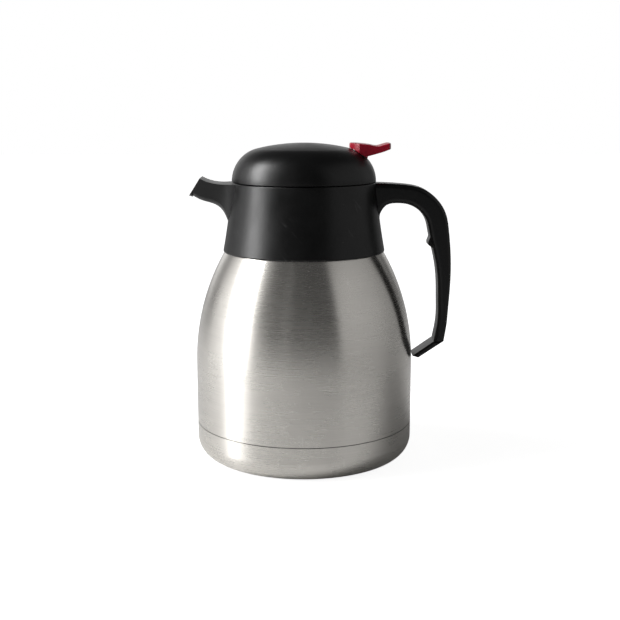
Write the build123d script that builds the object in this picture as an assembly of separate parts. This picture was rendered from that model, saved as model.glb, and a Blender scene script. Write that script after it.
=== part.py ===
from build123d import *
from math import asin, atan2, cos, degrees, radians, sin, sqrt
import os

os.makedirs("parts", exist_ok=True)

# A vacuum carafe: steel flask, moulded collar with spout and handle, screw-in stopper with a
# domed cover and a thumb lever that lifts the pouring valve. Millimetres. Z is the axis of the
# flask and its zero is the table. The spout points to -X and the handle to +X.
# Radii are about the Z axis unless a comment says otherwise.

# Steel flask
body_radius = 71.0
side_height = 63.4           # the side is upright up to here
taper_radius = 143.7         # arc that leans the side inwards above it
taper_top = 143.0            # where that arc ends
shoulder_round = 6.0
neck_round = 3.0
neck_radius = 37.1           # outside of the outer neck
neck_rise = 11.3             # from the shoulder's top to the mouth
steel = 0.6
vacuum_gap = 6.0
neck_gap = 1.9               # vacuum between the two necks
liner_round = 5.0            # shoulder of the inner flask
liner_floor = 12.6
liner_corner = 14.0
bend_limit = 0.95            # share of a narrow shoulder that its two bends may take

# Base
seam_height = 23.5
seam_gap = 0.4
cup_wall = 0.7
cup_corner = 13.0
cup_recess = 2.0
foot_radius = 42.0           # inner edge of the ring that stands on the table
skirt_drop = 10.0            # how far the outer shell reaches down inside the base cup
dish_rim = 3.0               # upright edge of the dished disc, spun against the skirt
dish_corner = 11.5
dish_rise = 2.0
dish_rise_radius = 20.0
getter_radius = 7.0
getter_height = 2.6
getter_depth = 1.3

# Collar, one moulding with the spout and the handle
collar_height = 44.7
collar_lip = 1.05            # step from the steel to the collar's lower edge
collar_bow = 0.6
collar_edge = 0.8            # rounding of its upper and lower edges
collar_wall = 2.5
collar_gap = 0.1             # play to the steel shoulder
gasket_height = 1.0
gasket_inset = 0.6
ledge_height = 2.5
ledge_radius = 35.0
chamber_height = 19.8
chamber_wall = 3.1
shelf_drop = 1.9             # slope under the threaded band
sleeve_wall = 2.0
sleeve_length = 7.0
thread_bore = 42.5
thread_band = 7.2

# Spout, lofted between sections. Each row holds how far along it the section stands, its keel
# and its roof above the collar's rim, and how much wider it is than a straight taper.
spout_reach = 74.2           # foot of the pouring mouth, from the axis
spout_mouth_drop = 9.0       # that foot below the collar's rim
spout_lean = 8.0             # how far the mouth's top stands back from its foot
spout_rise = 3.2             # mouth's top above the collar's rim
spout_wall = 1.9
spout_keel_wall = 1.4        # share of the wall by which the keel's width steps in
spout_root_width = 25.0
spout_tip_width = 19.0
spout_keel = 0.62            # width of the keel to the width of the roof
spout_keel_height = 0.45     # and its height to its half width
spout_root = 4.0             # how far it starts inside the collar's side
spout_over = 4.0             # how far it runs on before its mouth is cut
spout_lip = 0.9              # drip edge under the mouth
spout_lip_depth = 2.2
spout_sections = (
    (0.0, -33.0, -0.8, 11.0),
    (0.19, -25.4, -0.8, 4.6),
    (0.3, -17.7, -0.8, 2.0),
    (0.5, -13.5, 0.3, 0.4),
    (0.75, -10.3, 4.9, 0.0),
    (1.0, -9.4, 9.4, 0.0),
)

# Handle. The places along its two sides are distances inwards from its outermost point, or
# from the inner side of the grip, and down from its top. The low ones are measured up from
# the heel instead, and those of the arch's root out from the lid's side.
handle_reach = 95.6
handle_width = 17.6
handle_drop = 103.4          # from its top to the heel
handle_top_gap = 0.4         # its top below the collar's rim
handle_edge = 3.0
grip_depth = 8.1
heel_back = 3.6
handle_outer = (
    (32.7, 0.9),
    (19.6, 3.5),
    (10.1, 10.2),
    (4.3, 19.0),
    (1.8, 30.6),
    (0.0, 60.8),
)
outer_low = ((1.3, 18.7),)
inner_low = ((0.0, 13.4), (0.0, 27.4), (0.5, 40.8))
handle_inner = (
    (2.7, 47.9),
    (6.5, 32.0),
    (8.5, 24.1),
    (13.0, 18.0),
    (20.4, 13.8),
)
arch_top = (0.52055, 13.0)   # highest place of the arch, as a share of the way on to its root
arch_root = ((6.0, 14.8), (2.7, 19.6), (2.2, 25.0))     # out from the lid's side, and down
nub = ((5.7, 34.6), (7.1, 38.4), (6.9, 40.0), (3.6, 42.6), (1.5, 38.9))
knee_in = 2.3                # where the grip turns into the lower arm, from its inner side
knee_fall = 0.3              # and below the heel
arm_fall = 11.2              # from the heel down to the toe of the lower arm
arm_toe = 3.8                # toe, out from the free end
arm_toe_depth = 1.2          # and below it
arm_edge = 1.3
heel_gap = 0.45              # free end to the steel side

# Lid cover
lid_gap = 0.5
lid_radius = 46.5
lid_height = 24.4
crown_radius = 127.0
lid_wall = 2.4
boss_radius = 3.4

# Deck and stopper
deck_thickness = 2.5
deck_play = 0.15
skirt_radius = 41.8          # outside of the threaded skirt
skirt_wall = 2.5
skirt_depth = 7.7
plug_radius = 33.0
plug_wall = 2.5
plug_reach = 8.0             # plug below the mouth of the flask
window_count = 8
window_width = 15.0
window_height = 11.0
window_top = 7.7             # down from the deck
groove_depth = 1.2
groove_height = 4.0
groove_rise = 4.0
seal_play = 0.1
neck_play = 0.3              # seal to the bore of the neck

# Valve
valve_hole = 9.0
valve_inset = 0.7            # seal's inner edge outside the hole
valve_lap = 2.2
seal_height = 1.5
seat_play = 0.05
disc_height = 2.5
disc_overhang = 0.4
disc_spigot = 1.05           # depth of the boss that centres the seal
hub_radius = 4.2
hub_height = 6.0
stem_radius = 2.5
stem_play = 0.06
tower_radius = 5.0
tower_height = 2.3
wiper_radius = 5.2
wiper_height = 3.0
wiper_wall = 2.0
cap_rise = 8.8               # underside of the stem's cap above the deck's underside
cap_radius = 6.6
cap_thickness = 1.6
cap_spigot = 2.9
cap_spigot_height = 3.0
spring_radius = 4.2
spring_wire = 0.8
spring_turns = 4.5
spring_play = 0.1
spring_seat_wall = 1.8
spring_seat_height = 3.0

# Screws of the cover
screw_count = 3
screw_turn = 60.0            # first screw, clear of the lever
screw_circle = 36.15
screw_shank = 1.5
screw_head = 2.9
screw_head_height = 1.8
screw_length = 11.0

# Lever. Rows along its top: share of its length from the front, and depth below the lid's top.
# Rows along its underside: in from the tail, and depth below the lid's top.
pivot_reach = 37.5
pivot_rise = 18.5            # above the lid's lower edge
pin_radius = 1.2
pin_play = 0.05
post_wall = 1.3
post_thickness = 2.2
lever_play = 0.35
lever_width = 23.0
lever_wall = 1.5
lever_front = 29.2
lever_tail = 55.8
lever_nose = 6.0             # depth of its round nose, in plan
lever_end = 1.4              # and of its tail
lever_dish = 1.9             # lowest part of its top
lever_top = ((0.12, 0.1), (0.32, 0.6), (0.52, 1.3), (0.67, lever_dish), (0.8, 1.1), (0.93, 0.2))
lever_under = ((1.0, 3.7), (3.8, 4.8), (6.0, 5.6), (11.0, 7.0), (15.3, 8.2))
lever_belly = 17.6           # where the underside drops into the lid, in from the tail
lever_edge = 0.7
lever_clearance = 0.35       # over the cover
press_angle = 10.0           # travel of the lever
slot_play = 0.8
slot_side_play = 0.1
web_depth = 2.0              # solid part of the lever behind its pin
fork_thickness = 2.6
fork_gap = 0.7               # fork to the stem, each side, and to the tower below it
fork_throat = 2.7            # depth of the fork beyond the stem
fork_width = 6.2             # half width of the fork
fork_bend = 14.2             # where the fork starts to climb towards the pin
fork_climb = 26.8            # where that slope ends
fork_rise = 4.6
fork_mitre = 1.0
pad_reach = 0.8              # pad of the fork past the stem's cap
cam_radius = 3.0
cam_play = 0.3

# Heights and radii that follow
taper_angle = degrees(asin((taper_top - side_height) / taper_radius))
shoulder_top = taper_top + shoulder_round * (1 - sin(radians(taper_angle)))
mouth = shoulder_top + neck_rise
liner_neck = neck_radius - steel - neck_gap
liner_bore = liner_neck - steel
cup_top = seam_height - seam_gap / 2
shell_bottom = seam_height + seam_gap / 2
skirt_bottom = shell_bottom - skirt_drop
dish_bend = skirt_bottom + dish_rim / 2
dish_level = dish_bend - dish_corner
ledge_bottom = mouth + gasket_height
ledge_top = ledge_bottom + ledge_height
rim = ledge_top + chamber_height
collar_bottom = rim - collar_height
lid_bottom = rim + lid_gap
lid_top = lid_bottom + lid_height
lid_inside = lid_top - lid_wall
shoulder_arc = (crown_radius**2 - lid_radius**2 - (crown_radius - lid_height) ** 2) / (
    2 * (crown_radius - lid_radius)
)
shoulder_angle = degrees(atan2(crown_radius - lid_height, lid_radius - shoulder_arc))
deck_top = lid_bottom + deck_thickness
plug_bottom = mouth - plug_reach
plug_floor = plug_bottom + plug_wall
disc_bottom = plug_floor + seat_play + seal_height
cap_bottom = lid_bottom + cap_rise
cap_top = cap_bottom + cap_thickness
pivot_height = lid_bottom + pivot_rise
post_radius = pin_radius + post_wall
web_front = pivot_reach + post_radius + web_depth
fork_bottom = deck_top + tower_height + fork_gap
over = 5.0                   # how far cutting shapes run past what they cut
upwards = (Align.CENTER, Align.CENTER, Align.MIN)


def outline(*points):
    """Closed flat outline through points of (radius or x, height)."""
    return make_face(Polyline(*points, close=True).edges())


def turned(face):
    """An outline of (radius, height) turned once round the Z axis."""
    return revolve(Plane.XZ * face, Axis.Z)


def ring(inner, outer, low, high):
    """A plain ring between two radii and two heights."""
    return turned(outline((inner, low), (outer, low), (outer, high), (inner, high)))


def slab(face, width):
    """An outline of (x, height) made width thick, half on each side of the XZ plane."""
    return extrude(Plane.XZ * face, amount=width / 2, both=True)


def cross_rod(x, height, radius, length):
    """A rod along Y through a point of (x, height)."""
    return Pos(x, 0, height) * Rot(90, 0, 0) * Cylinder(radius, length)


def between(outer, inner):
    """Outline of the wall between two open runs of edges that start and end side by side."""
    start = Line(outer[0] @ 0, inner[0] @ 0)
    end = Line(outer[-1] @ 1, inner[-1] @ 1)
    return make_face([*outer, end, *inner, start])


def under(edges, *corners):
    """Outline closed from an open run of edges through further corners."""
    rest = Polyline(edges[-1] @ 1, *corners, edges[0] @ 0)
    return make_face([*edges, *rest.edges()])


def side_radius(height):
    """Radius of the steel side at a height on its upright part or its arc."""
    climb = max(height - side_height, 0)
    return body_radius - taper_radius + sqrt(taper_radius**2 - climb**2)


def side_edges(inset, low, high, neck, convex, concave):
    """Upright side, leaning arc, shoulder and neck of a steel wall, set in from the outside."""
    taper = CenterArc(
        (body_radius - taper_radius, side_height), taper_radius - inset, 0, taper_angle
    )
    reach = (taper @ 1).X - neck
    limit = min(1, bend_limit * reach / (convex * cos(radians(taper_angle)) + concave))
    side = Line((body_radius - inset, low), taper @ 0)
    crown = JernArc(taper @ 1, taper % 1, convex * limit, 90 - taper_angle)
    level = (crown @ 1).Y
    shoulder = Line(crown @ 1, (neck + concave * limit, level))
    root = JernArc(shoulder @ 1, (-1, 0), concave * limit, -90)
    return [side, taper, crown, shoulder, root, Line(root @ 1, (neck, high))]


def make_outer_shell():
    """Outer wall of the jacket, with a joggled skirt that the base cup slips over."""
    outer = side_edges(0, shell_bottom, mouth - steel, neck_radius, shoulder_round, neck_round)
    inner = side_edges(
        steel,
        shell_bottom + steel,
        mouth - steel,
        neck_radius - steel,
        shoulder_round - steel,
        neck_round + steel,
    )
    skirt_radius_out = body_radius - cup_wall
    step = Polyline(
        outer[0] @ 0,
        (skirt_radius_out, shell_bottom),
        (skirt_radius_out, skirt_bottom),
        (skirt_radius_out - steel, skirt_bottom),
        (skirt_radius_out - steel, shell_bottom + steel),
        inner[0] @ 0,
    )
    top = Line(outer[-1] @ 1, inner[-1] @ 1)
    return turned(make_face([*outer, top, *inner, *step.edges()]))


def liner_edges(inset, corner, floor, neck, high, convex, concave):
    """Floor, corner and side of the inner flask, from the axis to its mouth."""
    radius = body_radius - inset
    side = side_edges(inset, floor + corner, high, neck, convex, concave)
    bend = CenterArc((radius - corner, floor + corner), corner, -90, 90)
    return [Line((0, floor), bend @ 0), bend, *side]


def make_inner_flask():
    """Inner wall of the jacket, whose mouth is rolled out over the outer neck."""
    inset = steel + vacuum_gap
    outer = liner_edges(
        inset, liner_corner, liner_floor, liner_neck, mouth - steel, liner_round, neck_round
    )
    inner = liner_edges(
        inset + steel,
        liner_corner - steel,
        liner_floor + steel,
        liner_bore,
        mouth - steel,
        liner_round - steel,
        neck_round + steel,
    )
    flask = turned(between(outer, inner))
    return flask + ring(liner_bore, neck_radius, mouth - steel, mouth)


def dish_edges(inset):
    """Upright edge, corner, floor and raised middle of the dished disc, to the axis."""
    radius = body_radius - cup_wall - steel
    bend = CenterArc((radius - dish_corner, dish_bend), dish_corner - inset, 0, -90)
    level = (bend @ 1).Y
    middle = Polyline(
        bend @ 1,
        (dish_rise_radius, level),
        (dish_rise_radius - dish_rise, level + dish_rise),
        (0, level + dish_rise),
    )
    return [Line((radius - inset, dish_bend + dish_rim), bend @ 0), bend, *middle.edges()]


def make_vacuum_base():
    """Dished disc that closes the jacket, raised in the middle for the getter."""
    return turned(between(dish_edges(0), dish_edges(steel)))


def make_getter():
    """Getter cup welded to the middle of the dished disc, inside the vacuum."""
    seat = dish_level + dish_rise + steel
    top = seat + getter_height
    return ring(0, getter_radius, seat, top) - ring(
        0, getter_radius - steel, top - getter_depth, top
    )


def cup_edges(inset):
    """Side, corner, foot ring and raised middle of the base cup, from its edge to the axis."""
    corner = CenterArc((body_radius - cup_corner, cup_corner), cup_corner - inset, 0, -90)
    foot = Polyline(
        corner @ 1,
        (foot_radius, inset),
        (foot_radius - cup_recess, cup_recess + inset),
        (0, cup_recess + inset),
    )
    return [Line((body_radius - inset, cup_top), corner @ 0), corner, *foot.edges()]


def make_base_cup():
    """Steel cup under the flask, with a foot ring and a raised middle."""
    return turned(between(cup_edges(0), cup_edges(cup_wall)))


def make_neck_gasket():
    """Flat gasket between the steel mouth and the collar's ledge."""
    return ring(liner_bore + gasket_inset, neck_radius, mouth, ledge_bottom)


def collar_radius(height):
    """Outside radius of the collar on its slightly bowed side."""
    share = (height - collar_bottom) / (rim - collar_bottom)
    low = side_radius(collar_bottom) + collar_lip
    return low + (lid_radius - low) * share - 4 * collar_bow * share * (1 - share)


def make_collar_body():
    """Bowed cone of the collar, filled, with its upper and lower edges rounded."""
    low = (collar_radius(collar_bottom), collar_bottom)
    middle = (rim + collar_bottom) / 2
    side = ThreePointArc(low, (collar_radius(middle), middle), (lid_radius, rim))
    face = under([side], (0, rim), (0, collar_bottom))
    return turned(fillet(face.vertices().group_by(Axis.X)[1:], collar_edge))


def chamber_outline():
    """Pouring chamber over the neck, with the bore for the thread above it."""
    band_bottom = rim - thread_band
    shelf = band_bottom - shelf_drop
    return outline(
        (0, rim + over),
        (thread_bore, rim + over),
        (thread_bore, band_bottom),
        (collar_radius(shelf) - chamber_wall, shelf),
        (collar_radius(ledge_top) - chamber_wall, ledge_top),
        (ledge_radius, ledge_top),
        (ledge_radius, ledge_bottom - over),
        (0, ledge_bottom - over),
    )


def skirt_outline():
    """Space under the ledge, round the sleeve that is pressed on the neck."""
    sleeve_bottom = ledge_bottom - sleeve_length
    sleeve = neck_radius + sleeve_wall
    return outline(
        (0, ledge_bottom),
        (neck_radius, ledge_bottom),
        (neck_radius, sleeve_bottom),
        (sleeve, sleeve_bottom),
        (sleeve, ledge_bottom),
        (collar_radius(ledge_bottom) - collar_wall, ledge_bottom),
        (collar_radius(collar_bottom) - collar_wall, collar_bottom - over),
        (0, collar_bottom - over),
    )


def steel_outline():
    """The flask with the collar's play round it, filled."""
    steel_side = side_edges(-collar_gap, 0, mouth, neck_radius, shoulder_round, neck_round)
    return under(steel_side, (0, mouth), (0, 0))


def spout_section(x, low, high, top_width, keel_width):
    """Cross-section of the spout at x: a flat roof, two sides and a round keel."""
    half = top_width / 2
    keel = keel_width / 2
    bilge = low + keel * spout_keel_height
    arc = ThreePointArc((-keel, bilge), (0, low), (keel, bilge))
    plane = Plane(origin=(x, 0, 0), x_dir=(0, 1, 0), z_dir=(1, 0, 0))
    return plane * under([arc], (half, high), (-half, high))


def spout_loft(wall):
    """Beak from inside the chamber to past its mouth, set in by a wall."""
    root = lid_radius - spout_root
    span = spout_reach + spout_over - root
    sections = []
    for share, low, high, widen in spout_sections:
        width = spout_root_width + (spout_tip_width - spout_root_width) * share + widen
        sections.append(
            spout_section(
                -(root + span * share),
                rim + low + wall,
                rim + high - wall,
                width - 2 * wall,
                width * spout_keel - spout_keel_wall * wall,
            )
        )
    return loft(sections)


def make_spout():
    """Beak with a closed roof and a drip edge, before its channel is cut."""
    beak = spout_loft(0)
    end = outline(
        (-spout_reach - over, 0),
        (-spout_reach - over, rim + over),
        (-spout_reach + spout_lip_depth, rim + over),
        (-spout_reach + spout_lip_depth, 0),
    )
    beak += Pos(0, 0, -spout_lip) * (beak & slab(end, 2 * spout_root_width))
    foot = rim - spout_mouth_drop
    beyond = -spout_reach - spout_over - over
    mouth_cut = outline(
        (beyond, foot - over),
        (-spout_reach, foot - over),
        (-spout_reach, foot),
        (-spout_reach + spout_lean, rim + spout_rise),
        (-spout_reach + spout_lean, rim + spout_rise + 2 * over),
        (beyond, rim + spout_rise + 2 * over),
    )
    return beak - slab(mouth_cut, 2 * spout_root_width)


def handle_point(back, down):
    """A place on the handle, measured inwards from its outermost point and down from its top."""
    return (handle_reach - back, rim - handle_top_gap - down)


def grip_point(inwards, down):
    """A place on the handle, measured inwards from the grip's inner side."""
    return handle_point(grip_depth + inwards, down)


def rounded(strap, radius, beyond, above):
    """A slab with the long edges of its two flat faces rounded, past an x and above a height."""
    edges = [
        edge
        for edge in strap.edges()
        if abs(edge.center().Y) > 0.49 * handle_width
        and edge.center().X > beyond
        and edge.center().Z > above
    ]
    return fillet(edges, radius)


def make_handle():
    """Strap that leaves the collar's top, bends down to the grip and turns in at the heel."""
    root = lid_radius - spout_root
    heel = handle_point(heel_back, handle_drop)
    bend = grip_point(knee_in, handle_drop + knee_fall)
    outer = Spline(
        handle_point(handle_reach - root, 0),
        *[handle_point(*place) for place in handle_outer],
        *[handle_point(back, handle_drop - up) for back, up in outer_low],
        heel,
        tangents=((1, 0), (-0.18, -1)),
    )
    corner = handle_inner[-1][0]
    run = handle_reach - grip_depth - lid_radius - arch_root[0][0]
    inner = Spline(
        bend,
        *[grip_point(inwards, handle_drop - up) for inwards, up in inner_low],
        *[grip_point(*place) for place in handle_inner],
        grip_point(corner + arch_top[0] * (run - corner), arch_top[1]),
        *[handle_point(handle_reach - lid_radius - out, down) for out, down in arch_root],
        tangents=((0.2, 1), (-0.05, -1)),
    )
    side = [outer, Line(heel, bend), inner]
    strap = slab(under(side, (root, (inner @ 1).Y)), handle_width)
    free = side_radius(heel[1] - arm_fall) + heel_gap
    toe = (free + arm_toe, heel[1] - arm_fall)
    arm = slab(outline(heel, toe, (free, toe[1] + arm_toe_depth), bend), handle_width)
    bump = slab(outline(*[grip_point(*place) for place in nub]), handle_width - 2 * handle_edge)
    soft = min(handle_edge, 0.45 * Line(heel, bend).length)
    thin = min(arm_edge, 0.45 * Line(heel, toe).distance_to(Vertex(*bend)))
    return rounded(strap, soft, lid_radius, heel[1] + over) + rounded(arm, thin, 0, 0) + bump


def make_collar():
    """Collar, spout and handle in one moulding."""
    body = make_collar_body() + make_spout() + make_handle()
    for hollow in (chamber_outline(), skirt_outline(), steel_outline()):
        body -= turned(hollow)
    band = ring(0, lid_radius, rim - thread_band, rim + over)
    floor = ring(0, spout_reach, collar_bottom, ledge_top)
    return body - (spout_loft(spout_wall) - band - floor)


def lid_edges(inset):
    """Shoulder arc and crown arc of the lid's cover, set in by the wall."""
    shoulder = CenterArc(
        (lid_radius - shoulder_arc, lid_bottom), shoulder_arc - inset, 0, shoulder_angle
    )
    crown = CenterArc(
        (0, lid_top - crown_radius), crown_radius - inset, shoulder_angle, 90 - shoulder_angle
    )
    return [shoulder, crown]


def lid_filled(inset):
    """The cover with no hollow, set in from its outside."""
    return turned(under(lid_edges(inset), (0, lid_bottom)))


def screw_places():
    """Where the cover's screws stand round the axis."""
    return PolarLocations(screw_circle, screw_count, start_angle=screw_turn)


def lever_slot():
    """Opening in the cover behind the stem, through which the lever reaches down."""
    front = lever_front + lever_wall + slot_play
    back = pivot_reach + post_radius + slot_play / 2
    low = cap_bottom - cam_radius
    side = outline((front, low), (back, low), (back, lid_top + over), (front, lid_top + over))
    return slab(side, lever_width - 2 * lever_wall - 2 * slot_side_play)


def make_lid_dome():
    """Domed cover with screw bosses, a spring seat and the slot for the lever."""
    dome = turned(between(lid_edges(0), lid_edges(lid_wall)))
    seat = spring_radius + spring_wire
    inside = ring(seat, seat + spring_seat_wall, lid_inside - spring_seat_height, lid_top)
    for place in screw_places():
        inside += place * Pos(0, 0, deck_top) * Cylinder(boss_radius, lid_height, align=upwards)
    dome += inside & lid_filled(lid_wall / 2)
    for place in screw_places():
        dome -= place * Pos(0, 0, deck_top) * Cylinder(
            screw_shank, screw_length - deck_thickness, align=upwards
        )
    return dome - lever_slot()


def lever_post():
    """One post of the pair that holds the lever's pin, in the XZ plane."""
    side = outline(
        (pivot_reach - post_radius, deck_top),
        (pivot_reach + post_radius, deck_top),
        (pivot_reach + post_radius, pivot_height),
        (pivot_reach - post_radius, pivot_height),
    )
    post = slab(side, post_thickness)
    post += cross_rod(pivot_reach, pivot_height, post_radius, post_thickness)
    return post - cross_rod(pivot_reach, pivot_height, pin_radius, 2 * post_thickness)


def make_lid_deck():
    """Deck under the cover: threaded skirt, stem guide, wiper seat and two lever posts."""
    edge = lid_radius - shoulder_arc + sqrt((shoulder_arc - lid_wall) ** 2 - deck_thickness**2)
    bore = stem_radius + stem_play
    deck = ring(bore, edge - deck_play, lid_bottom, deck_top)
    deck += ring(skirt_radius - skirt_wall, skirt_radius, lid_bottom - skirt_depth, lid_bottom)
    deck += ring(bore, tower_radius, deck_top, deck_top + tower_height)
    deck += ring(
        wiper_radius, wiper_radius + wiper_wall, lid_bottom - wiper_height, lid_bottom
    )
    for place in screw_places():
        deck -= place * Pos(0, 0, lid_bottom) * Cylinder(screw_shank, 2 * deck_thickness + over)
    stand = fork_width + lever_play + post_thickness / 2
    return deck + Pos(0, stand, 0) * lever_post() + Pos(0, -stand, 0) * lever_post()


def make_stopper_plug():
    """Plug that fills the neck: valve hole in its floor, seal groove and pouring windows."""
    plug = ring(0, plug_radius, plug_bottom, lid_bottom)
    plug -= ring(0, plug_radius - plug_wall, plug_floor, lid_bottom)
    plug -= ring(0, valve_hole, plug_bottom, plug_floor)
    groove = plug_bottom + groove_rise
    plug -= ring(plug_radius - groove_depth, plug_radius, groove, groove + groove_height)
    centre = lid_bottom - window_top - window_height / 2
    for place in PolarLocations(plug_radius, window_count):
        plug -= place * Pos(0, 0, centre) * Box(3 * plug_wall, window_width, window_height)
    return plug


def make_stopper_seal():
    """Two-lipped seal in the plug's groove."""
    base = plug_radius - groove_depth + seal_play
    lip = liner_bore - neck_play
    low = plug_bottom + groove_rise + seal_play
    step = (groove_height - 2 * seal_play) / 4
    return turned(
        outline(
            (base, low),
            (plug_radius, low),
            (lip, low + step),
            (plug_radius, low + 2 * step),
            (lip, low + 3 * step),
            (plug_radius, low + 4 * step),
            (base, low + 4 * step),
        )
    )


def make_valve_seal():
    """Ring that closes the valve hole."""
    inner = valve_hole + valve_inset
    return ring(inner, inner + valve_lap, plug_floor + seat_play, disc_bottom)


def make_valve_disc():
    """Disc over the seal with a hub for the stem."""
    spigot = valve_hole + valve_inset
    disc_top = disc_bottom + disc_height
    disc = ring(0, spigot + valve_lap + disc_overhang, disc_bottom, disc_top)
    disc += ring(0, spigot, disc_bottom - disc_spigot, disc_bottom)
    disc += ring(0, hub_radius, disc_top, disc_top + hub_height)
    return disc - ring(0, stem_radius, disc_bottom, cap_bottom)


def make_valve_stem():
    """Rod from the valve disc to the cap that the lever lifts."""
    return ring(0, stem_radius, disc_bottom, cap_bottom)


def make_stem_cap():
    """Flanged cap on the stem: the fork lifts its underside and the spring stands on its top."""
    cap = ring(0, cap_radius, cap_bottom, cap_top)
    return cap + ring(0, cap_spigot, cap_top, cap_top + cap_spigot_height)


def make_stem_wiper():
    """Soft ring round the stem under the deck."""
    return ring(stem_radius + stem_play, wiper_radius, lid_bottom - wiper_height, lid_bottom)


def make_valve_spring():
    """Coil spring between the stem's cap and the cover."""
    height = lid_inside - cap_top - spring_wire - spring_play
    pitch = height / spring_turns
    path = Pos(0, 0, cap_top + spring_wire / 2) * Helix(pitch, height, spring_radius)
    section = Plane(path @ 0, z_dir=path % 0) * RegularPolygon(spring_wire / 2, 6)
    return sweep(section, path=path, is_frenet=True)


def make_lid_screws():
    """Pan-head screws up through the deck into the cover's bosses."""
    screws = []
    for place in screw_places():
        head = ring(0, screw_head, lid_bottom - screw_head_height, lid_bottom)
        shank = ring(0, screw_shank, lid_bottom, lid_bottom + screw_length)
        screws.append(place * (head + shank))
    return Compound(children=screws)


def make_lever_pin():
    """Pin across the two posts."""
    length = 2 * (fork_width + lever_play + post_thickness)
    return cross_rod(pivot_reach, pivot_height, pin_radius, length)


def lever_plan(inset):
    """Upright prism of the lever's plan: round nose, straight sides and a blunt round tail."""
    half = lever_width / 2 - inset
    front = lever_front + inset
    tail = lever_tail - inset
    nose = ThreePointArc((front + lever_nose, -half), (front, 0), (front + lever_nose, half))
    end = ThreePointArc((tail - lever_end, half), (tail, 0), (tail - lever_end, -half))
    sides = [Line(nose @ 1, end @ 0), Line(end @ 1, nose @ 0)]
    plan = make_face([nose, end, *sides])
    return Pos(0, 0, deck_top) * extrude(plan, amount=lid_top + over - deck_top)


def lever_side():
    """Side view of the lever's cap: a top that dips to the thumb dish and a lifted tail."""
    length = lever_tail - lever_front
    front = lever_front - over
    back = lever_tail + over
    top = Spline(
        (front, lid_top),
        *[(lever_front + share * length, lid_top - depth) for share, depth in lever_top],
        (back, lid_top - lever_top[-1][1]),
        tangents=((1, 0), (1, 0)),
    )
    return under(
        [top],
        (back, lid_top - lever_under[0][1]),
        *[(lever_tail - inwards, lid_top - depth) for inwards, depth in lever_under],
        (lever_tail - lever_belly, deck_top),
        (front, deck_top),
    )


def swung(shape, angle):
    """A shape turned about the lever's pin."""
    pin = Pos(pivot_reach, 0, pivot_height)
    return pin * Rot(0, angle, 0) * Pos(-pivot_reach, 0, -pivot_height) * shape


def make_lever_cap():
    """Hollow cap of the lever, cut clear of the cover over its whole travel."""
    side = slab(lever_side(), 2 * lever_width)
    cap = side & lever_plan(0)
    edges = [e for e in cap.edges() if e.center().Z > lid_top - lever_dish - lever_edge]
    cap = fillet(edges, lever_edge)
    cover = lid_filled(-lever_clearance)
    for share in (0, 0.5, 1):
        cap -= swung(cover, -press_angle * share)
    hollow = (Pos(0, 0, -lever_wall) * side) & lever_plan(lever_wall)
    web = Pos(web_front, 0, deck_top) * Box(
        lever_tail, 2 * lever_width, 2 * lid_height, align=(Align.MIN, Align.CENTER, Align.MIN)
    )
    return cap - (hollow - web)


def fork_outline():
    """Side view of the fork: flat under the stem's cap, then up to the pin and into the cap."""
    roof = lid_top - lever_dish - lever_wall / 2
    back = web_front + fork_mitre / 2
    front = pivot_reach - post_radius - fork_mitre
    return outline(
        (0, fork_bottom),
        (fork_bend, fork_bottom),
        (fork_climb, fork_bottom + fork_rise),
        (pivot_reach - fork_mitre, pivot_height - post_radius - fork_mitre),
        (back, pivot_height - post_radius + fork_mitre),
        (back, roof),
        (front, roof),
        (front, pivot_height - 2 * fork_mitre),
        (fork_climb - fork_mitre, fork_bottom + fork_rise + fork_thickness),
        (fork_bend - fork_mitre, fork_bottom + fork_thickness),
        (0, fork_bottom + fork_thickness),
    )


def make_fork():
    """Fork of the lever with a rounded pad on each side of the stem."""
    cam_top = cap_bottom - cam_play
    pad = outline(
        (-cam_radius, fork_bottom),
        (cap_radius + pad_reach, fork_bottom),
        (cap_radius + pad_reach, cam_top),
        (-cam_radius, cam_top),
    )
    cam = cross_rod(0, cam_top - cam_radius, cam_radius, 2 * fork_width)
    fork = slab(fork_outline(), 2 * fork_width) + (slab(pad, 2 * fork_width) & cam)
    throat = Pos(-over, 0, fork_bottom) * Box(
        over + stem_radius + fork_throat,
        2 * (stem_radius + fork_gap),
        2 * fork_thickness,
        align=(Align.MIN, Align.CENTER, Align.MIN),
    )
    return fork - throat


def make_lever():
    """Thumb lever: hollow cap over the slot and a fork that reaches under the stem's cap.

    The pin goes in from the far side, so only that side of the cap has a hole for it.
    """
    lever = make_lever_cap() + make_fork()
    near = -fork_width - lever_play
    far = lever_width / 2 + over
    bore = cross_rod(pivot_reach, pivot_height, pin_radius + pin_play, far - near)
    return lever - Pos(0, (near + far) / 2, 0) * bore


SUBPARTS = {
    "outer_shell": make_outer_shell,
    "inner_flask": make_inner_flask,
    "vacuum_base": make_vacuum_base,
    "getter": make_getter,
    "base_cup": make_base_cup,
    "neck_gasket": make_neck_gasket,
    "collar": make_collar,
    "lid_dome": make_lid_dome,
    "lid_deck": make_lid_deck,
    "lid_screws": make_lid_screws,
    "stopper_plug": make_stopper_plug,
    "stopper_seal": make_stopper_seal,
    "stem_wiper": make_stem_wiper,
    "valve_seal": make_valve_seal,
    "valve_disc": make_valve_disc,
    "valve_stem": make_valve_stem,
    "stem_cap": make_stem_cap,
    "valve_spring": make_valve_spring,
    "lever": make_lever,
    "lever_pin": make_lever_pin,
}

for name, make in SUBPARTS.items():
    export_step(make(), f"parts/{name}.step")
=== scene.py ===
"""Thermal carafe: finishes, threads, screws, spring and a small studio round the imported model.

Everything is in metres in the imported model's frame: +Z up along the flask's axis,
the spout towards -X and the handle towards +X.
"""
import math

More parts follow.
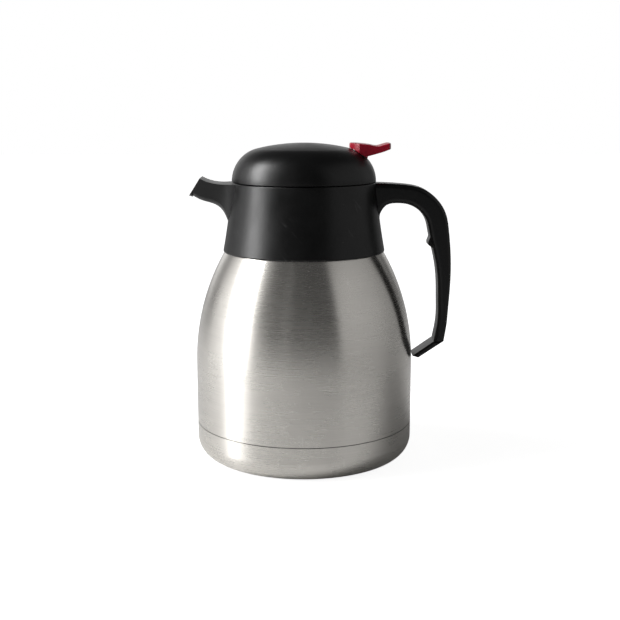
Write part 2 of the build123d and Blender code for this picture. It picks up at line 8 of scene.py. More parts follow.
import bpy
import numpy as np
from mathutils import Euler, Matrix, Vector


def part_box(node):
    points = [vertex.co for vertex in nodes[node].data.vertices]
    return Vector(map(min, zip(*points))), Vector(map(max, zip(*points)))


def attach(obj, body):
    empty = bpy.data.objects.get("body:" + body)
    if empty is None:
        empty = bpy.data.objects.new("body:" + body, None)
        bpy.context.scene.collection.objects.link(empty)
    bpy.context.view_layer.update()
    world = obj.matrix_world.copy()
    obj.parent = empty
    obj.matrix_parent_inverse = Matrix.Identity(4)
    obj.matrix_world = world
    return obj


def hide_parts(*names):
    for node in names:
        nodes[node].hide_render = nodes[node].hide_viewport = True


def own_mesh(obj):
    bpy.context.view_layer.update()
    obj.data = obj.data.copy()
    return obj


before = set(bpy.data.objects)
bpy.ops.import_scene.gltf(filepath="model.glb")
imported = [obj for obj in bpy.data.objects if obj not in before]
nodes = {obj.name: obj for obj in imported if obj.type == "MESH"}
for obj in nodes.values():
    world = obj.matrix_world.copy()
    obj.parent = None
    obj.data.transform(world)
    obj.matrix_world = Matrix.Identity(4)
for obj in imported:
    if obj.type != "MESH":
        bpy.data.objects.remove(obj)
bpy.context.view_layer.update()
MM = 0.001

# The lid's seat on the collar, and the screw that holds the lid down.
LID_BOTTOM = 180.776 * MM
RIM = 180.276 * MM
THREAD_LEAD = 12.0 * MM          # rise in one whole turn
THREAD_STARTS = 4
THREAD_WIDTH = 1.2 * MM
THREAD_FLANK = 0.26              # share of the width that each flank takes
THREAD_SUNK = 0.15 * MM          # how deep the foot of a ridge lies in the wall
THREAD_DYING = 0.083             # share of the ridge's length over which its height dies
THREAD_STOP = 0.3 * MM           # below the edge that the ridges run up to
SKIRT_RADIUS = 41.8 * MM         # the lid's skirt, and the tops of its ridges
SKIRT_CREST = 42.35 * MM
BORE_RADIUS = 42.5 * MM          # the collar's bore, and the tops of its ridges
BORE_CREST = 41.95 * MM
BAND_LOW = 173.08 * MM           # where both threads begin

# The rolled seam between shell and base cup, in millimetres, along which shade is painted.
SEAM_HEIGHT = 23.5
SEAM_HALF = 0.3

# Small screws that hold the deck in the cover.
SCREW_CIRCLE = 36.15 * MM
SCREW_TURNS = (60.0, 180.0, 300.0)    # degrees round the axis
SCREW_HEAD = 2.9 * MM
SCREW_HEAD_HEIGHT = 1.8 * MM
SCREW_SHANK = 1.5 * MM
SCREW_LENGTH = 11.0 * MM
SCREW_PITCH = 1.3 * MM
SCREW_EDGE = 0.55 * MM           # rounding of the head's edge
FACE_RINGS = 26                  # rings of the grid across the head's face
SHANK_RINGS = 90                 # and up the thread
CROSS_DEPTH = 1.1 * MM
CROSS_HALF = 0.42 * MM           # half the width of a bar of the cross
CROSS_REACH = 1.75 * MM

# Spring between the valve's cap and the cover, which the lever presses together.
SPRING_RADIUS = 4.2 * MM
SPRING_WIRE = 0.4 * MM           # half the wire's thickness
SPRING_TURNS = 5.5


# ---------------------------------------------------------------- surfaces

def ease(value):
    """Smooth step: 3 t^2 - 2 t^3 with t held between 0 and 1."""
    t = np.clip(value, 0.0, 1.0)
    return t * t * (3.0 - 2.0 * t)


def skins(name, grids):
    """One mesh of closed skins, from an array shaped (skins, stations, points round, 3).

    Each pair of neighbouring stations is joined by a ring of four-sided faces, and each end is
    closed by a fan to the mean of its last ring. Faces turn outwards: their order is swapped
    where the signed volume, the sum of a . (b x c) / 6, comes out negative.
    """
    count, rows, cols = grids.shape[:3]
    tips = np.stack([grids[:, 0].mean(1), grids[:, -1].mean(1)], 1)
    points = np.concatenate([grids.reshape(count, -1, 3), tips], 1)
    ring = np.arange(rows * cols).reshape(rows, cols)
    after = np.roll(ring, -1, 1)
    quads = np.stack([ring[:-1], after[:-1], after[1:], ring[1:]], -1).reshape(-1, 4)
    first = np.stack([np.full(cols, rows * cols), after[0], ring[0]], -1)
    last = np.stack([np.full(cols, rows * cols + 1), ring[-1], after[-1]], -1)
    fans = np.concatenate([first, last])
    halves = np.concatenate([quads[:, [0, 1, 2]], quads[:, [0, 2, 3]], fans])
    a, b, c = (points[0][halves[:, k]] for k in range(3))
    if np.einsum("ij,ij->i", a, np.cross(b, c)).sum() < 0:
        quads, fans = quads[:, ::-1], fans[:, ::-1]
    shift = (np.arange(count) * points.shape[1])[:, None, None]
    quads = (quads + shift).reshape(-1, 4)
    fans = (fans + shift).reshape(-1, 3)
    corners = np.concatenate([quads.ravel(), fans.ravel()])
    sizes = np.concatenate([np.full(len(quads), 4), np.full(len(fans), 3)])
    starts = np.concatenate([[0], np.cumsum(sizes)[:-1]])
    mesh = bpy.data.meshes.new(name)
    mesh.vertices.add(count * points.shape[1])
    mesh.vertices.foreach_set("co", points.astype(np.float32).ravel())
    mesh.loops.add(len(corners))
    mesh.loops.foreach_set("vertex_index", corners.astype(np.int32))
    mesh.polygons.add(len(sizes))
    mesh.polygons.foreach_set("loop_start", starts.astype(np.int32))
    mesh.polygons.foreach_set("use_smooth", np.ones(len(sizes), bool))
    mesh.update(calc_edges=True)
    mesh.validate()
    piece = bpy.data.objects.new(name, mesh)
    bpy.context.scene.collection.objects.link(piece)
    return piece


def thread_ridges(name, wall, crest, low, high, first_turn):
    """Ridges of a screw with several starts.

    The middle of a ridge climbs evenly, z = low + lead * turn / (2 pi). Its section is a flat
    crest with two eased flanks, standing from the wall's radius to the crest's radius; the foot
    is sunk a little into the wall. The height rises and dies by a smooth step over the first
    and last twelfth of the ridge.
    """
    across = np.linspace(-0.5, 0.5, 9)
    height = ease((0.5 - np.abs(across)) / THREAD_FLANK)
    across = np.concatenate([across, [0.5, -0.5]])
    sunk = -THREAD_SUNK / abs(crest - wall)
    height = np.concatenate([height, [sunk, sunk]])
    along = np.linspace(0.0, 1.0, 97)
    climb = high - low - THREAD_WIDTH
    swell = ease(along / THREAD_DYING) * ease((1.0 - along) / THREAD_DYING)
    starts = np.arange(THREAD_STARTS) * 2 * math.pi / THREAD_STARTS + first_turn
    turn = starts[:, None, None] + (along * climb / THREAD_LEAD * 2 * math.pi)[None, :, None]
    lift = np.where(height > 0, height, 0) * swell[:, None] + np.minimum(height, 0)
    reach = wall + (crest - wall) * lift
    z = low + THREAD_WIDTH / 2 + (along * climb)[:, None] + across * THREAD_WIDTH
    reach, z, turn = np.broadcast_arrays(reach[None], z[None], turn)
    return skins(name, np.stack([reach * np.cos(turn), reach * np.sin(turn), z], -1))


def cross_bar(across, along):
    """One bar of a cross recess: 1 within its half width and reach, with eased edges."""
    inside = ease((CROSS_HALF - np.abs(across)) / (0.3 * MM) + 0.5)
    return inside * ease((CROSS_REACH - np.abs(along)) / (0.5 * MM))


def cross_head_screws(name):
    """Three small pan-head screws, heads down.

    Radius and height follow a profile from the middle of the head over its edge and up the
    shank to a cone tip. The cross recess sinks the head's face evenly inside two crossed
    bars whose edges are eased, and the shank's radius follows a triangle wave of
    (height / pitch - turn / 2 pi), which is the screw's thread.
    """
    round_ = np.linspace(0, 2 * math.pi, 49)[:-1]
    face = np.linspace(0.06, 2.35, FACE_RINGS) * MM
    edge = np.linspace(0, math.pi / 2, 7)[1:]
    face_z = np.full(FACE_RINGS, -SCREW_HEAD_HEIGHT)
    edge_r = SCREW_HEAD - SCREW_EDGE + SCREW_EDGE * np.sin(edge)
    edge_z = -SCREW_HEAD_HEIGHT + SCREW_EDGE - SCREW_EDGE * np.cos(edge)
    seat_r = np.array([SCREW_HEAD, SCREW_HEAD - 0.15 * MM, 1.05 * SCREW_SHANK])
    seat_z = np.array([-0.15 * MM, -0.01 * MM, 0.0])
    shank_z = np.linspace(0.3 * MM, SCREW_LENGTH - 1.6 * MM, SHANK_RINGS)
    tip_z = np.linspace(SCREW_LENGTH - 1.5 * MM, SCREW_LENGTH - 0.05 * MM, 12)
    tip_r = np.linspace(1.0, 0.05, 12) * 0.72 * SCREW_SHANK
    shank_r = np.full(SHANK_RINGS, SCREW_SHANK)
    radius = np.concatenate([face, edge_r, seat_r, shank_r, tip_r])
    height = np.concatenate([face_z, edge_z, seat_z, shank_z, tip_z])
    radius = np.repeat(radius[:, None], len(round_), 1)
    height = np.repeat(height[:, None], len(round_), 1)
    first = FACE_RINGS + len(edge) + len(seat_r)
    shank = slice(first, first + SHANK_RINGS)
    wave = np.abs(((height[shank] / SCREW_PITCH - round_ / (2 * math.pi)) % 1.0) * 2 - 1)
    radius[shank] = SCREW_SHANK * (0.74 + 0.26 * wave ** 1.6)
    x, y = radius * np.cos(round_), radius * np.sin(round_)
    recess = np.maximum(cross_bar(x, y), cross_bar(y, x))
    recess[FACE_RINGS:] = 0
    height = height + CROSS_DEPTH * recess
    turned = np.radians(np.array(SCREW_TURNS))[:, None, None]
    place_x, place_y = SCREW_CIRCLE * np.cos(turned), SCREW_CIRCLE * np.sin(turned)
    heights = np.repeat(height[None], len(SCREW_TURNS), 0) + LID_BOTTOM
    return skins(name, np.stack([x + place_x, y + place_y, heights], -1))


def coil_spring(name, low, high):
    """Compression spring of round wire with closed ends.

    The middle of the wire goes round at one radius. It lies almost level over the first and
    last tenth of its length and climbs evenly in the middle, joined to it by smooth steps.
    Around it the wire's section is a circle square to its path, with eased tips.
    """
    share = np.linspace(0.0, 1.0, 331)
    turn = share * SPRING_TURNS * 2 * math.pi
    rate = 0.12 + ease((share - 0.1) / 0.1) * ease((0.9 - share) / 0.1)
    climb = np.concatenate([[0.0], np.cumsum((rate[1:] + rate[:-1]) / 2)])
    middle = low + SPRING_WIRE + climb / climb[-1] * (high - low - 2 * SPRING_WIRE)
    out = np.stack([np.cos(turn), np.sin(turn), np.zeros_like(turn)], -1)
    path = out * SPRING_RADIUS + np.stack([0 * middle, 0 * middle, middle], -1)
    along = np.gradient(path, axis=0)
    side = np.cross(along, out)
    side /= np.linalg.norm(side, axis=1)[:, None]
    tip = np.sqrt(np.clip(np.minimum(share, 1.0 - share) / 0.003, 0.04, 1.0))
    round_ = np.linspace(0, 2 * math.pi, 13)[:-1]
    wire = SPRING_WIRE * tip[:, None, None]
    outward = np.cos(round_)[None, :, None] * out[:, None]
    sideways = np.sin(round_)[None, :, None] * side[:, None]
    return skins(name, (path[:, None] + wire * (outward + sideways))[None])


# ---------------------------------------------------------------- shader helpers

def add(tree, kind, plugs=None, **settings):
    """A shader node with its settings made, and values or sockets put into its inputs."""
    made = tree.nodes.new(kind)
    for key, value in settings.items():
        setattr(made, key, value)
    for where, value in (plugs or {}).items():
        if isinstance(value, bpy.types.NodeSocket):
            tree.links.new(value, made.inputs[where])
        else:
            made.inputs[where].default_value = value
    return made


def math_of(tree, operation, *values):
    """Result of one Math node, with the values as its inputs."""
    return add(tree, "ShaderNodeMath", dict(enumerate(values)), operation=operation).outputs[0]


def spread(tree, value, low, high, to_low, to_high):
    """Value carried evenly from one range to another, and held at its ends."""
    plugs = {0: value, 1: low, 2: high, 3: to_low, 4: to_high}
    return add(tree, "ShaderNodeMapRange", plugs, clamp=True).outputs[0]


def tint(tree, share, colour, other):
    """Two colours mixed by a share."""
    plugs = {0: share, 6: colour, 7: other}
    return add(tree, "ShaderNodeMix", plugs, data_type="RGBA").outputs[2]


def shade(colour, factor):
    """A colour made darker or lighter, with full cover."""
    return [min(1, part * factor) for part in colour] + [1]


def product(tree, one, other):
    """Two values multiplied."""
    return math_of(tree, "MULTIPLY", one, other)


def held(tree, value):
    """A value held between 0 and 1."""
    return math_of(tree, "MINIMUM", math_of(tree, "MAXIMUM", value, 0.0), 1.0)


def group(name, inputs, outputs):
    """An empty shader node group with named inputs and outputs."""
    tree = bpy.data.node_groups.new(name, "ShaderNodeTree")
    for title, start in inputs:
        plug = tree.interface.new_socket(title, in_out="INPUT", socket_type="NodeSocketFloat")
        plug.default_value = start
    for title in outputs:
        tree.interface.new_socket(title, in_out="OUTPUT", socket_type="NodeSocketFloat")
    given = tree.nodes.new("NodeGroupInput").outputs
    return tree, given, tree.nodes.new("NodeGroupOutput").inputs


def millimetres(tree):
    """Position on the piece, in millimetres of the model's frame."""
    place = add(tree, "ShaderNodeTexCoord").outputs["Object"]
    plugs = {0: place, "Scale": 1 / MM}
    return add(tree, "ShaderNodeVectorMath", plugs, operation="SCALE").outputs[0]


def scaled(tree, vector, x, y, z):
    """A vector with each part multiplied by its own factor."""
    factors = add(tree, "ShaderNodeCombineXYZ", {0: x, 1: y, 2: z}).outputs[0]
    plugs = {0: vector, 1: factors}
    return add(tree, "ShaderNodeVectorMath", plugs, operation="MULTIPLY").outputs[0]


def noise(tree, vector, scale=1.0, detail=2.0, roughness=0.5):
    """Soft noise in 0..1."""
    plugs = {"Vector": vector, "Scale": scale, "Detail": detail, "Roughness": roughness}
    return add(tree, "ShaderNodeTexNoise", plugs).outputs["Fac"]


def use(tree, made_group, **values):
    """A group placed in a material with its own values; spaces in input names are underscores."""
    placed = tree.nodes.new("ShaderNodeGroup")
    placed.node_tree = made_group
    for title, value in values.items():
        placed.inputs[title.replace("_", " ")].default_value = value
    return placed.outputs


def material(name):
    """A material with its Principled shader, ready for the other nodes."""
    made = bpy.data.materials.new(name)
    made.use_nodes = True
    tree = made.node_tree
    tree.nodes.clear()
    shader = tree.nodes.new("ShaderNodeBsdfPrincipled")
    out = tree.nodes.new("ShaderNodeOutputMaterial")
    tree.links.new(shader.outputs[0], out.inputs["Surface"])
    return made, tree, shader.inputs


def bump(tree, height, depth):
    """Normal raised by a height in 0..1 that stands for the given depth in metres."""
    plugs = {"Height": height, "Distance": depth, "Strength": 1.0}
    return add(tree, "ShaderNodeBump", plugs).outputs[0]


# ---------------------------------------------------------------- shared effects

def make_brushing():
    """Fine lines round the axis: noise drawn out level and packed close in height, and slow
    bands."""
    inputs = [("Lines per mm", 2.2), ("Line length", 26.0)]
    tree, given, out = group("brushing round the axis", inputs, ["Lines", "Bands"])
    place = millimetres(tree)
    level = math_of(tree, "DIVIDE", 1.0, given["Line length"])
    fine = noise(tree, scaled(tree, place, level, level, given["Lines per mm"]))
    wide = noise(tree, scaled(tree, place, 0.012, 0.012, 0.22))
    tree.links.new(fine, out["Lines"])
    tree.links.new(wide, out["Bands"])
    return tree


def make_grain():
    """Fine leathery grain that a moulding takes from its mould, and a slow mottle in its
    gloss."""
    tree, given, out = group("moulded grain", [("Grain size", 0.45)], ["Grain", "Mottle"])
    place = millimetres(tree)
    close = math_of(tree, "DIVIDE", 1.0, given["Grain size"])
    tree.links.new(noise(tree, place, scale=close, detail=2.0, roughness=0.6), out["Grain"])
    tree.links.new(noise(tree, place, scale=0.06, detail=3.0, roughness=0.55), out["Mottle"])
    return tree


def make_specks():
    """Scattered specks: round spots in some cells of a cell pattern, none in the others."""
    inputs = [("Cell size", 7.0), ("Speck size", 0.25), ("Share", 0.3)]
    tree, given, out = group("scattered specks", inputs, ["Specks"])
    place = millimetres(tree)
    close = math_of(tree, "DIVIDE", 1.0, given["Cell size"])
    cells = add(tree, "ShaderNodeTexVoronoi", {"Vector": place, "Scale": close})
    far = product(tree, cells.outputs["Distance"], given["Cell size"])
    apart = add(tree, "ShaderNodeSeparateColor", {0: cells.outputs["Color"]})
    size = product(tree, given["Speck size"], math_of(tree, "ADD", apart.outputs[1], 0.4))
    spot = math_of(tree, "SUBTRACT", 1.0, math_of(tree, "DIVIDE", far, size))
    spot = held(tree, product(tree, spot, 3.0))
    kept = math_of(tree, "LESS_THAN", apart.outputs[0], given["Share"])
    tree.links.new(product(tree, spot, kept), out["Specks"])
    return tree


def make_scuffs():
    """Faint short scratches: the thin crest of a drawn-out noise, seen only where a slow noise
    is high."""
    inputs = [("Turn", 0.6), ("Spacing", 3.0), ("Length", 16.0)]
    tree, given, out = group("faint scuffs", inputs, ["Scuffs"])
    place = millimetres(tree)
    plugs = {"Vector": place, "Angle": given["Turn"]}
    turned = add(tree, "ShaderNodeVectorRotate", plugs, rotation_type="Y_AXIS").outputs[0]
    long_ = math_of(tree, "DIVIDE", 1.0, given["Length"])
    close = math_of(tree, "DIVIDE", 1.0, given["Spacing"])
    drawn = noise(tree, scaled(tree, turned, close, long_, long_), detail=1.0)
    crest = math_of(tree, "ABSOLUTE", math_of(tree, "SUBTRACT", drawn, 0.5))
    thin = spread(tree, crest, 0.0, 0.012, 1.0, 0.0)
    where = spread(tree, noise(tree, place, scale=0.11), 0.56, 0.66, 0.0, 1.0)
    tree.links.new(product(tree, thin, where), out["Scuffs"])
    return tree


def make_smudges():
    """Hand marks: a slow cloud, of which only the thicker part shows."""
    tree, given, out = group("hand marks", [("Size", 30.0)], ["Marks"])
    close = math_of(tree, "DIVIDE", 1.0, given["Size"])
    cloud = noise(tree, millimetres(tree), scale=close, detail=4.0, roughness=0.6)
    tree.links.new(spread(tree, cloud, 0.42, 0.72, 0.0, 1.0), out["Marks"])
    return tree


def make_seam():
    """A thin level line where shade is painted, in millimetres: 1 in its inner half, falling
    evenly to 0 at its half width."""
    inputs = [("Height", 23.5), ("Half width", 0.25)]
    # mask of the painted shade along the seam
    tree, given, out = group("painted shade in a level seam", inputs, ["Line"])
    level = add(tree, "ShaderNodeSeparateXYZ", {0: millimetres(tree)}).outputs[2]
    off = math_of(tree, "ABSOLUTE", math_of(tree, "SUBTRACT", level, given["Height"]))
    line = math_of(tree, "SUBTRACT", 1.0, math_of(tree, "DIVIDE", off, given["Half width"]))
    tree.links.new(held(tree, product(tree, line, 2.0)), out["Line"])
    return tree


brushing, grain, specks = make_brushing(), make_grain(), make_specks()
scuffs, smudges, seam = make_scuffs(), make_smudges(), make_seam()


# ---------------------------------------------------------------- finishes

SCRATCH = (0.95, 0.93, 0.9, 1)
SPECK = (0.05, 0.045, 0.04, 1)
# painted shade in the rolled seam's gap
SEAM_SHADE = (0.03, 0.028, 0.025, 1)
SCUFF = (0.16, 0.16, 0.165, 1)
RED_SCUFF = (0.5, 0.16, 0.18, 1)
DUST = (0.3, 0.29, 0.28, 1)
POWDER = (0.8, 0.8, 0.79, 1)
MICRON = 0.001 * MM


def brushed_steel(name, colour, roughness, line_depth, lines_per_mm, marked=1.0):
    """Steel brushed round the axis, with hand marks, fine upright scratches, a few dark specks
    and painted shade along the seam. The roughness is drawn out square to the brushing."""
    made, tree, into = material(name)
    brush = use(tree, brushing, Lines_per_mm=lines_per_mm)
    marks = use(tree, smudges, Size=34.0)["Marks"]
    spots = use(tree, specks, Cell_size=13.0, Speck_size=0.42, Share=0.3 * marked)["Specks"]
    upright = use(tree, scuffs, Turn=0.0, Spacing=2.2, Length=30.0)["Scuffs"]
    line = use(tree, seam, Height=SEAM_HEIGHT, Half_width=SEAM_HALF)["Line"]
    lines = spread(tree, brush["Lines"], 0.3, 0.7, 0.0, 1.0)
    bands = spread(tree, brush["Bands"], 0.35, 0.65, 0.0, 0.5)
    base = tint(tree, lines, shade(colour, 0.945), shade(colour, 1.035))
    base = tint(tree, bands, base, shade(colour, 0.95))
    base = tint(tree, product(tree, upright, 0.35 * marked), base, SCRATCH)
    base = tint(tree, product(tree, spots, 0.7), base, SPECK)
    # painted shade: the seam's line takes a near-black colour
    tree.links.new(tint(tree, line, base, SEAM_SHADE), into["Base Color"])
    rough = spread(tree, brush["Lines"], 0.25, 0.75, roughness - 0.02, roughness + 0.02)
    rough = math_of(tree, "ADD", rough, product(tree, marks, 0.04 * marked))
    tree.links.new(rough, into["Roughness"])
    tree.links.new(bump(tree, brush["Lines"], line_depth), into["Normal"])
    into["Metallic"].default_value = 1.0
    into["Anisotropic"].default_value = 0.88
    into["Anisotropic Rotation"].default_value = 0.25
    round_axis = add(tree, "ShaderNodeTangent", direction_type="RADIAL", axis="Z")
    tree.links.new(round_axis.outputs[0], into["Tangent"])
    return made


def turned_metal(name, colour, roughness, lines_per_mm):
    """Small metal parts with fine machining lines and a slight stain."""
    made, tree, into = material(name)
    brush = use(tree, brushing, Lines_per_mm=lines_per_mm, Line_length=4.0)
    stain = use(tree, smudges, Size=5.0)["Marks"]
    dark = shade(colour, 0.82)
    base = tint(tree, brush["Lines"], dark, shade(colour, 1.0))
    tree.links.new(tint(tree, product(tree, stain, 0.3), base, dark), into["Base Color"])
    rough = spread(tree, brush["Lines"], 0.3, 0.7, roughness - 0.05, roughness + 0.08)
    tree.links.new(rough, into["Roughness"])
    tree.links.new(bump(tree, brush["Lines"], 20 * MICRON), into["Normal"])
    into["Metallic"].default_value = 1.0
    return made


def moulding(name, colour, roughness, grain_depth, dusty=1.0, scuffed=1.0, gloss=0.5):
    """Satin moulded plastic: fine grain, mottled gloss, faint scuffs and dust."""
    made, tree, into = material(name)
    skin = use(tree, grain, Grain_size=0.7)
    lines = use(tree, scuffs, Turn=0.7, Spacing=2.6, Length=70.0)["Scuffs"]
    dust = use(tree, specks, Cell_size=3.4, Speck_size=0.14, Share=0.22 * dusty)["Specks"]
    mottle = spread(tree, skin["Mottle"], 0.35, 0.65, 0.0, 1.0)
    base = tint(tree, mottle, shade(colour, 0.85), shade(colour, 1.18))
    base = tint(tree, product(tree, lines, 0.14 * scuffed), base, SCUFF)
    tree.links.new(tint(tree, product(tree, dust, 0.5), base, DUST), into["Base Color"])
    rough = spread(tree, skin["Mottle"], 0.3, 0.7, roughness - 0.035, roughness + 0.045)
    rough = math_of(tree, "ADD", rough, product(tree, skin["Grain"], 0.03))
    tree.links.new(rough, into["Roughness"])
    tree.links.new(bump(tree, skin["Grain"], grain_depth), into["Normal"])
    into["Specular IOR Level"].default_value = gloss
    return made


def glossy_moulding(name, colour):
    """Glossy dyed plastic: deep colour with slight flow clouds, faint scuffs and thumb marks."""
    made, tree, into = material(name)
    skin = use(tree, grain, Grain_size=1.6)
    marks = use(tree, smudges, Size=7.0)["Marks"]
    lines = use(tree, scuffs, Turn=1.1, Spacing=1.2, Length=36.0)["Scuffs"]
    clouds = spread(tree, skin["Mottle"], 0.35, 0.65, 0.0, 1.0)
    base = tint(tree, clouds, shade(colour, 0.86), shade(colour, 1.12))
    tree.links.new(tint(tree, product(tree, lines, 0.06), base, RED_SCUFF), into["Base Color"])
    tree.links.new(spread(tree, marks, 0.0, 1.0, 0.32, 0.38), into["Roughness"])
    tree.links.new(bump(tree, skin["Grain"], MICRON), into["Normal"])
    into["Specular IOR Level"].default_value = 0.32
    return made


def silicone(name, colour):
    """Pale silicone rubber with a powdery skin."""
    made, tree, into = material(name)
    skin = use(tree, grain, Grain_size=0.3)
    dust = use(tree, specks, Cell_size=2.4, Speck_size=0.12, Share=0.3)["Specks"]
    mottle = spread(tree, skin["Mottle"], 0.3, 0.7, 0.0, 1.0)
    base = tint(tree, mottle, shade(colour, 0.945), shade(colour, 1.05))
    tree.links.new(tint(tree, product(tree, dust, 0.4), base, POWDER), into["Base Color"])
    tree.links.new(spread(tree, skin["Grain"], 0.3, 0.7, 0.46, 0.6), into["Roughness"])
    tree.links.new(bump(tree, skin["Grain"], 20 * MICRON), into["Normal"])
    return made


steel = brushed_steel("brushed steel", (0.72, 0.694, 0.652), 0.27, 0.6 * MICRON, 2.4)
steel_inside = brushed_steel(
    "satin steel inside", (0.66, 0.65, 0.63), 0.26, 6 * MICRON, 3.2, marked=0.4)
bright_metal = turned_metal("bright screws and wire", (0.62, 0.61, 0.59), 0.24, 5.0)
getter_metal = turned_metal("getter powder", (0.34, 0.33, 0.32), 0.55, 2.0)
black_plastic = moulding(
    "black satin moulding", (0.0015, 0.0015, 0.0016), 0.32, 50 * MICRON, gloss=0.35)
grey_plastic = moulding(
    "dark grey moulding", (0.085, 0.085, 0.09), 0.42, 12 * MICRON, dusty=0.3, scuffed=0.4)
red_plastic = glossy_moulding("red glossy moulding", (0.29, 0.001, 0.016))
rubber = silicone("pale silicone", (0.55, 0.55, 0.54))

FINISHES = {
    steel: ["outer_shell", "base_cup"],
    steel_inside: ["inner_flask", "vacuum_base"],
    bright_metal: ["lid_screws", "valve_stem", "valve_spring", "lever_pin"],
    getter_metal: ["getter"],
    black_plastic: ["collar", "lid_dome"],
    grey_plastic: ["lid_deck", "stopper_plug", "valve_disc", "stem_cap"],
    red_plastic: ["lever"],
    rubber: ["neck_gasket", "stopper_seal", "stem_wiper", "valve_seal"],
}
for finish, names in FINISHES.items():
    for node in names:
        for place in nodes[node].material_slots:
            place.material = finish


# ---------------------------------------------------------------- added pieces

def dress(piece, finish, body):
    """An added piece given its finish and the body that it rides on."""
    piece.data.materials.append(finish)
    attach(piece, body)
    return piece


half_step = math.pi / THREAD_STARTS
outer_ridges = thread_ridges(
    "stopper_thread", SKIRT_RADIUS, SKIRT_CREST, BAND_LOW, LID_BOTTOM - THREAD_STOP, 0.0)
dress(outer_ridges, grey_plastic, "lid")
inner_ridges = thread_ridges(
    "collar_thread", BORE_RADIUS, BORE_CREST, BAND_LOW, RIM - THREAD_STOP, half_step)
dress(inner_ridges, black_plastic, "vessel")
screws = dress(cross_head_screws("deck_screws"), bright_metal, "lid")
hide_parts("lid_screws")
spring_low, spring_high = (corner[2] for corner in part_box("valve_spring"))
spring = dress(coil_spring("coil_spring", spring_low, spring_high), bright_metal, "lid")
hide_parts("valve_spring")
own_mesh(spring)


# ---------------------------------------------------------------- studio

LAMP_AIM = 0.11                  # height of the point on the axis that the lamps face


def softbox(name, azimuth, elevation, distance, width, height, radiance, lean):
    """A soft lamp, with its angles in degrees: azimuth 0 is towards the camera and 90 towards
    +X, and lean turns its face about the line to its aim. Its power is radiance * pi * area,
    so that its face has the radiance asked for."""
    data = bpy.data.lights.new(name, "AREA")
    data.shape = "RECTANGLE"
    data.size, data.size_y = width, height
    data.energy = radiance * math.pi * width * height
    lamp = bpy.data.objects.new(name, data)
    bpy.context.scene.collection.objects.link(lamp)
    a, e = math.radians(azimuth), math.radians(elevation)
    level = distance * math.cos(e)
    lamp.location = (level * math.sin(a), -level * math.cos(a), LAMP_AIM + distance * math.sin(e))
    facing = Euler((math.pi / 2 - e, 0, a)).to_matrix()
    lamp.rotation_euler = (facing @ Matrix.Rotation(math.radians(lean), 3, "Z")).to_euler()
    lamp.visible_camera = False


softbox("left softbox", -83, 29, 1.25, 0.36, 1.1, 14.5, 19)
softbox("left softbox edge", -79, 24, 1.3, 0.66, 1.3, 3.8, 19)

# Soft panels round the set: azimuth as for the lamps, brightness, and how high each reaches as
# the sine of the elevation. Between two of them both values run evenly.
PANELS = [
    (-180, 0.9, 0.2), (-150, 0.9, 0.2), (-138, 0.36, 0.3), (-130, 0.3, 0.3), (-114, 1.0, 0.4),
    (-104, 1.2, 0.6), (-60, 0.7, 0.6), (-50, 0.22, 0.6), (-40, 0.14, 0.6), (-29, 0.1, 0.6),
    (-21, 0.18, 0.6), (-12, 0.08, 0.6), (36, 0.06, 0.6), (42, 0.48, 0.6), (60, 0.52, 0.6),
    (90, 0.45, 0.6), (112, 0.34, 0.5), (130, 0.3, 0.3), (140, 0.12, 0.2), (147, 0.14, 0.2),
    (155, 0.42, 0.2), (167, 0.75, 0.2), (180, 0.9, 0.2)]
PANEL_FADE = 0.35                # how far above its top a panel has faded out, as a sine
OVERHEAD = (0.08, 0.08, 0.08, 1)
TABLE_HALF = 4.0
TABLE_LEVEL = -0.05 * MM
TABLE_GLOW = 0.88                # light added for the camera's own rays only


def camera_ray(tree):
    """1 for what the camera sees itself, 0 in reflections and for light."""
    return add(tree, "ShaderNodeLightPath").outputs["Is Camera Ray"]


def panel_light():
    """World with the panels, which the camera itself sees as plain white.

    The azimuth of a direction is atan2(x, -y). It picks brightness and top from a ramp of the
    panels, and a smooth step in the direction's z fades each panel into the overhead light.
    """
    world = bpy.data.worlds.new("studio")
    bpy.context.scene.world = world
    world.use_nodes = True
    air = world.node_tree
    air.nodes.clear()
    toward = add(air, "ShaderNodeTexCoord").outputs["Generated"]
    x, y, z = add(air, "ShaderNodeSeparateXYZ", {0: toward}).outputs
    turn = math_of(air, "ARCTAN2", x, product(air, y, -1.0))
    share = math_of(air, "ADD", math_of(air, "DIVIDE", turn, 2 * math.pi), 0.5)
    ramp = add(air, "ShaderNodeValToRGB", {0: share})
    stops = ramp.color_ramp.elements
    while len(stops) < len(PANELS):
        stops.new(1.0)
    for stop, (azimuth, level, top) in zip(stops, PANELS):
        stop.position = azimuth / 360 + 0.5
        stop.color = (level, level, level, top)
    top = ramp.outputs["Alpha"]
    plugs = {0: z, 1: top, 2: math_of(air, "ADD", top, PANEL_FADE)}
    above = add(air, "ShaderNodeMapRange", plugs, interpolation_type="SMOOTHSTEP").outputs[0]
    panels = tint(air, above, ramp.outputs[0], OVERHEAD)
    lit = add(air, "ShaderNodeBackground", {"Color": panels, "Strength": 1.0}).outputs[0]
    white = {"Color": (1, 1, 1, 1), "Strength": 1.0}
    seen = add(air, "ShaderNodeBackground", white).outputs[0]
    chosen = add(air, "ShaderNodeMixShader", {0: camera_ray(air), 1: lit, 2: seen}).outputs[0]
    add(air, "ShaderNodeOutputWorld", {"Surface": chosen})


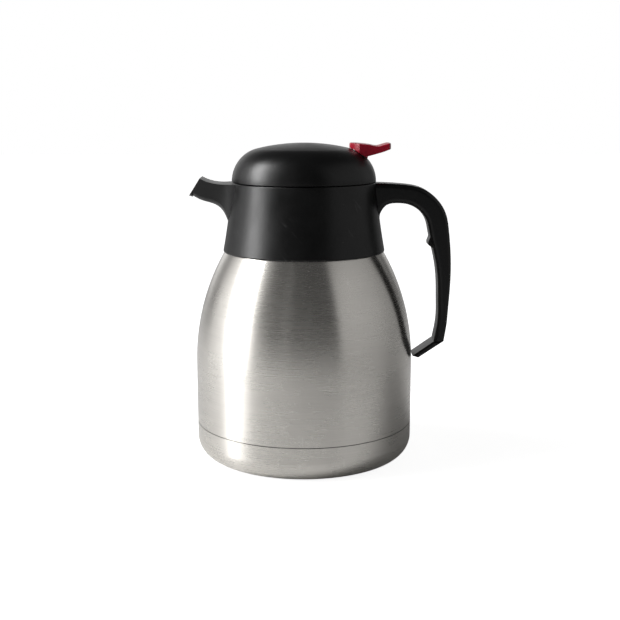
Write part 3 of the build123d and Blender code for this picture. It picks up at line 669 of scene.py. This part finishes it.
def table_top(name, half, level, cells):
    """Flat square sheet: x and y run evenly from -half to half, z = level."""
    run = np.linspace(-half, half, cells + 1)
    x, y = np.meshgrid(run, run, indexing="ij")
    points = np.stack([x, y, np.full_like(x, level)], -1).reshape(-1, 3)
    index = np.arange((cells + 1) ** 2).reshape(cells + 1, cells + 1)
    faces = np.stack([index[:-1, :-1], index[1:, :-1], index[1:, 1:], index[:-1, 1:]], -1)
    mesh = bpy.data.meshes.new(name)
    mesh.from_pydata(points.tolist(), [], faces.reshape(-1, 4).tolist())
    sheet = bpy.data.objects.new(name, mesh)
    bpy.context.scene.collection.objects.link(sheet)
    return sheet


def pale_table():
    """Matt pale table with a slow mottle; what the camera sees of it is raised close to white
    and keeps the shadow."""
    made, tree, into = material("pale table")
    cloud = noise(tree, millimetres(tree), scale=0.02, detail=3.0)
    tree.links.new(spread(tree, cloud, 0.3, 0.7, 0.58, 0.62), into["Base Color"])
    into["Roughness"].default_value = 0.9
    into["Specular IOR Level"].default_value = 0.1
    glow = {"Color": (1, 1, 1, 1), "Strength": product(tree, camera_ray(tree), TABLE_GLOW)}
    raised = add(tree, "ShaderNodeEmission", glow).outputs[0]
    plugs = {0: tree.nodes["Principled BSDF"].outputs[0], 1: raised}
    both = add(tree, "ShaderNodeAddShader", plugs).outputs[0]
    tree.links.new(both, tree.nodes["Material Output"].inputs["Surface"])
    return made


panel_light()
table = table_top("table_top", TABLE_HALF, TABLE_LEVEL, 8)
table.data.materials.append(pale_table())


# ---------------------------------------------------------------- camera

FOCAL_LENGTH = 62.77             # millimetres, with the sensor's width
SENSOR_WIDTH = 36.0
CAMERA_PLACE = (0.0, -0.7013, 0.23214)
LOOKS_DOWN = 0.1920              # radians
LOOKS_RIGHT = 0.0056

lens = bpy.data.cameras.new("camera")
lens.lens, lens.sensor_width, lens.sensor_fit = FOCAL_LENGTH, SENSOR_WIDTH, "HORIZONTAL"
lens.clip_start, lens.clip_end = 0.01, 100.0
camera = bpy.data.objects.new("camera", lens)
bpy.context.scene.collection.objects.link(camera)
camera.location = CAMERA_PLACE
camera.rotation_euler = (math.pi / 2 - LOOKS_DOWN, 0.0, -LOOKS_RIGHT)
bpy.context.scene.camera = camera
bpy.context.scene.view_settings.view_transform = "Standard"
